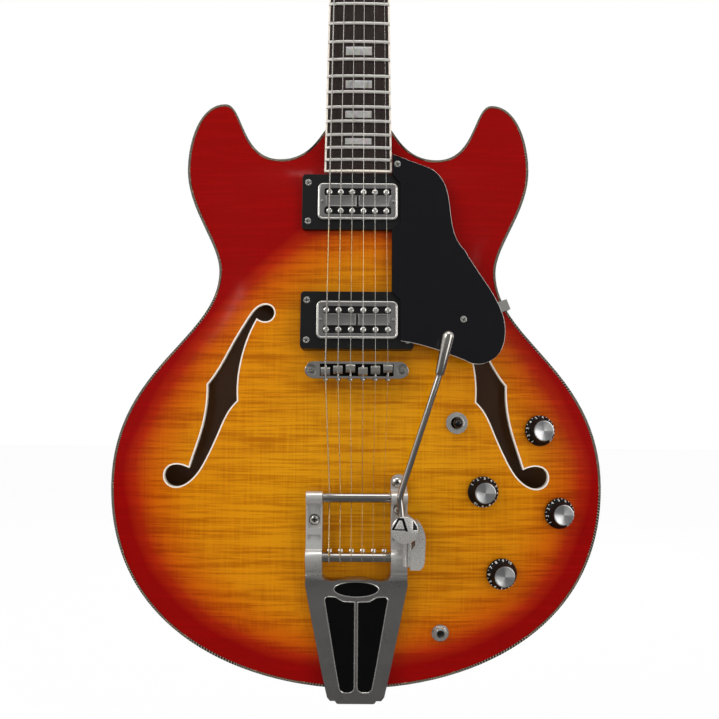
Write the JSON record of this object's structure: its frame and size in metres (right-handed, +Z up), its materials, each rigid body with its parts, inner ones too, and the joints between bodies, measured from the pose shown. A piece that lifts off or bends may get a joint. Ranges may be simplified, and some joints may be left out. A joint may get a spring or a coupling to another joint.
{
  "type": "semi-hollow electric guitar",
  "caption": "Double-cutaway semi-hollow electric guitar with arched top, f-holes, vibrato tailpiece, two pickups, turning controls and tuners.",
  "frame": {"origin": "centreline at the nut line, on the glue plane between neck and fretboard", "axes": "+Z up the neck towards the headstock, -Y out of the front of the body, +X to the right seen from the front"},
  "size_m": [0.406, 0.1518, 1.0834],
  "materials": {
    "base_nickel": "plain",
    "black_plate": "gloss with a white edge",
    "black_veneer": "gloss lacquer",
    "bobbin_black": "satin",
    "body_maple": "glossy cherry lacquer",
    "bone": "satin",
    "bracket_nickel": "satin",
    "bridge_nickel": "polished",
    "button_nickel": "polished",
    "cover_chrome": "polished",
    "cream_binding": "gloss",
    "fret_nickel": "polished",
    "fretboard_wood": "oiled satin",
    "inner_wood": "bare",
    "inset_black": "enamel",
    "jack_nickel": "polished",
    "knob_black": "gloss with a spun metal cap",
    "neck_wood": "glossy cherry lacquer",
    "pearl": "pearloid",
    "pole_nickel": "polished",
    "pot_steel": "plain",
    "purfling": "dark and pale rope strip under lacquer",
    "ring_black": "satin",
    "rod_steel": "plain",
    "screw_nickel": "polished",
    "string_steel": "wound and plain wire",
    "switch_black": "gloss",
    "top_maple": "glossy amber to cherry burst over figured maple",
    "tuner_chrome": "polished",
    "vibrato_aluminium": "satin polish",
    "vibrato_steel": "polished"
  },
  "bodies": {
    "root": {"body_back": "body_maple", "body_bindings": "purfling", "body_rim": "body_maple", "body_top": "top_maple", "bridge_body": "bridge_nickel", "bridge_saddles": "bridge_nickel", "bridge_studs": "bridge_nickel", "bridge_thumbwheels": "bridge_nickel", "centre_block": "inner_wood", "f_hole_bindings": "cream_binding", "fret_inlays": "pearl", "fretboard": "fretboard_wood", "fretboard_binding": "cream_binding", "frets": "fret_nickel", "headstock_veneer": "black_veneer", "neck": "neck_wood", "nut": "bone", "output_jack": "jack_nickel", "pickguard": "black_plate", "pickguard_bracket": "bracket_nickel", "pickup_baseplates": "base_nickel", "pickup_bobbins": "bobbin_black", "pickup_covers": "cover_chrome", "pickup_pole_screws": "pole_nickel", "pickup_rings": "ring_black", "potentiometers": "pot_steel", "rim_linings": "inner_wood", "strap_buttons": "button_nickel", "strings": "string_steel", "switch_body": "jack_nickel", "trim_screws": "screw_nickel", "truss_rod": "rod_steel", "truss_rod_cover": "black_plate", "tuner_bushings": "tuner_chrome", "tuner_housings": "tuner_chrome", "vibrato_frame": "vibrato_aluminium", "vibrato_insets": "inset_black", "vibrato_screws": "screw_nickel", "vibrato_spring": "vibrato_steel"},
    "vibrato_rocker": {"string_axle": "vibrato_steel", "arm_bracket": "vibrato_aluminium"},
    "vibrato_lever": {"vibrato_arm": "vibrato_steel"},
    "roller": {"tension_bar": "vibrato_steel"},
    "lever": {"switch_lever": "switch_black"},
    "post_1": {"tuner_post_1": "tuner_chrome"},
    "button_1": {"tuner_button_1": "tuner_chrome"},
    "post_2": {"tuner_post_2": "tuner_chrome"},
    "button_2": {"tuner_button_2": "tuner_chrome"},
    "post_3": {"tuner_post_3": "tuner_chrome"},
    "button_3": {"tuner_button_3": "tuner_chrome"},
    "post_4": {"tuner_post_4": "tuner_chrome"},
    "button_4": {"tuner_button_4": "tuner_chrome"},
    "post_5": {"tuner_post_5": "tuner_chrome"},
    "button_5": {"tuner_button_5": "tuner_chrome"},
    "post_6": {"tuner_post_6": "tuner_chrome"},
    "button_6": {"tuner_button_6": "tuner_chrome"},
    "knob_neck_volume_turner": {"knob_neck_volume": "knob_black"},
    "knob_bridge_volume_turner": {"knob_bridge_volume": "knob_black"},
    "knob_neck_tone_turner": {"knob_neck_tone": "knob_black"},
    "knob_bridge_tone_turner": {"knob_bridge_tone": "knob_black"}
  },
  "joints": [
    {"name": "vibrato_rock", "type": "hinge", "parent": "root", "child": "vibrato_rocker", "pos_m": [0, -0.05185, -0.77466], "axis": [1, 0, 0], "range_deg": [-4.5, 7], "stiffness_Nm_per_rad": 6, "deforming": ["vibrato_spring", "strings"]},
    {"name": "arm_swing", "type": "hinge", "parent": "vibrato_rocker", "child": "vibrato_lever", "pos_m": [0.038, -0.06885, -0.75026], "axis": [0, -1, 0], "range_deg": [-150, 40]},
    {"name": "tension_bar_roll", "type": "hinge", "parent": "root", "child": "roller", "pos_m": [0, -0.05085, -0.72776], "axis": [1, 0, 0], "continuous": true},
    {"name": "neck_volume_turn", "type": "hinge", "parent": "root", "child": "knob_neck_volume_turner", "pos_m": [0.1507, -0.03144, -0.67436], "axis": [0.1324, -0.9905, 0.0366], "range_deg": [-150, 150]},
    {"name": "bridge_volume_turn", "type": "hinge", "parent": "root", "child": "knob_bridge_volume_turner", "pos_m": [0.1034, -0.03642, -0.72406], "axis": [0.0538, -0.9986, -0.0009], "range_deg": [-150, 150]},
    {"name": "neck_tone_turn", "type": "hinge", "parent": "root", "child": "knob_neck_tone_turner", "pos_m": [0.1669, -0.02996, -0.74186], "axis": [0.1301, -0.9914, -0.0114], "range_deg": [-150, 150]},
    {"name": "bridge_tone_turn", "type": "hinge", "parent": "root", "child": "knob_bridge_tone_turner", "pos_m": [0.1186, -0.03459, -0.79026], "axis": [0.0986, -0.9945, -0.0356], "range_deg": [-150, 150]},
    {"name": "switch_throw", "type": "hinge", "parent": "root", "child": "lever", "pos_m": [0.08149, -0.02216, -0.66836], "axis": [0.9994, 0.034, -0.0001], "range_deg": [-10, 10]},
    {"name": "button_1_turn", "type": "hinge", "parent": "root", "child": "button_1", "pos_m": [-0.039, 0.03395, 0.03438], "axis": [-1, 0, 0], "continuous": true},
    {"name": "post_1_turn", "type": "hinge", "parent": "root", "child": "post_1", "pos_m": [-0.023, 0.01548, 0.04823], "axis": [0, -0.9444, 0.3289], "continuous": true},
    {"name": "button_2_turn", "type": "hinge", "parent": "root", "child": "button_2", "pos_m": [-0.0416, 0.04678, 0.07121], "axis": [-1, 0, 0], "continuous": true},
    {"name": "post_2_turn", "type": "hinge", "parent": "root", "child": "post_2", "pos_m": [-0.0256, 0.02831, 0.08506], "axis": [0, -0.9444, 0.3289], "continuous": true},
    {"name": "button_3_turn", "type": "hinge", "parent": "root", "child": "button_3", "pos_m": [-0.0442, 0.0596, 0.10804], "axis": [-1, 0, 0], "continuous": true},
    {"name": "post_3_turn", "type": "hinge", "parent": "root", "child": "post_3", "pos_m": [-0.0282, 0.04113, 0.12189], "axis": [0, -0.9444, 0.3289], "continuous": true},
    {"name": "button_4_turn", "type": "hinge", "parent": "root", "child": "button_4", "pos_m": [0.039, 0.03395, 0.03438], "axis": [1, 0, 0], "continuous": true},
    {"name": "post_4_turn", "type": "hinge", "parent": "root", "child": "post_4", "pos_m": [0.023, 0.01548, 0.04823], "axis": [0, -0.9444, 0.3289], "continuous": true},
    {"name": "button_5_turn", "type": "hinge", "parent": "root", "child": "button_5", "pos_m": [0.0416, 0.04678, 0.07121], "axis": [1, 0, 0], "continuous": true},
    {"name": "post_5_turn", "type": "hinge", "parent": "root", "child": "post_5", "pos_m": [0.0256, 0.02831, 0.08506], "axis": [0, -0.9444, 0.3289], "continuous": true},
    {"name": "button_6_turn", "type": "hinge", "parent": "root", "child": "button_6", "pos_m": [0.0442, 0.0596, 0.10804], "axis": [1, 0, 0], "continuous": true},
    {"name": "post_6_turn", "type": "hinge", "parent": "root", "child": "post_6", "pos_m": [0.0282, 0.04113, 0.12189], "axis": [0, -0.9444, 0.3289], "continuous": true}
  ],
  "couplings": [
    {"joint": "post_1_turn", "follows": "button_1_turn", "ratio": 0.066667},
    {"joint": "post_2_turn", "follows": "button_2_turn", "ratio": 0.066667},
    {"joint": "post_3_turn", "follows": "button_3_turn", "ratio": 0.066667},
    {"joint": "post_4_turn", "follows": "button_4_turn", "ratio": 0.066667},
    {"joint": "post_5_turn", "follows": "button_5_turn", "ratio": 0.066667},
    {"joint": "post_6_turn", "follows": "button_6_turn", "ratio": 0.066667}
  ]
}
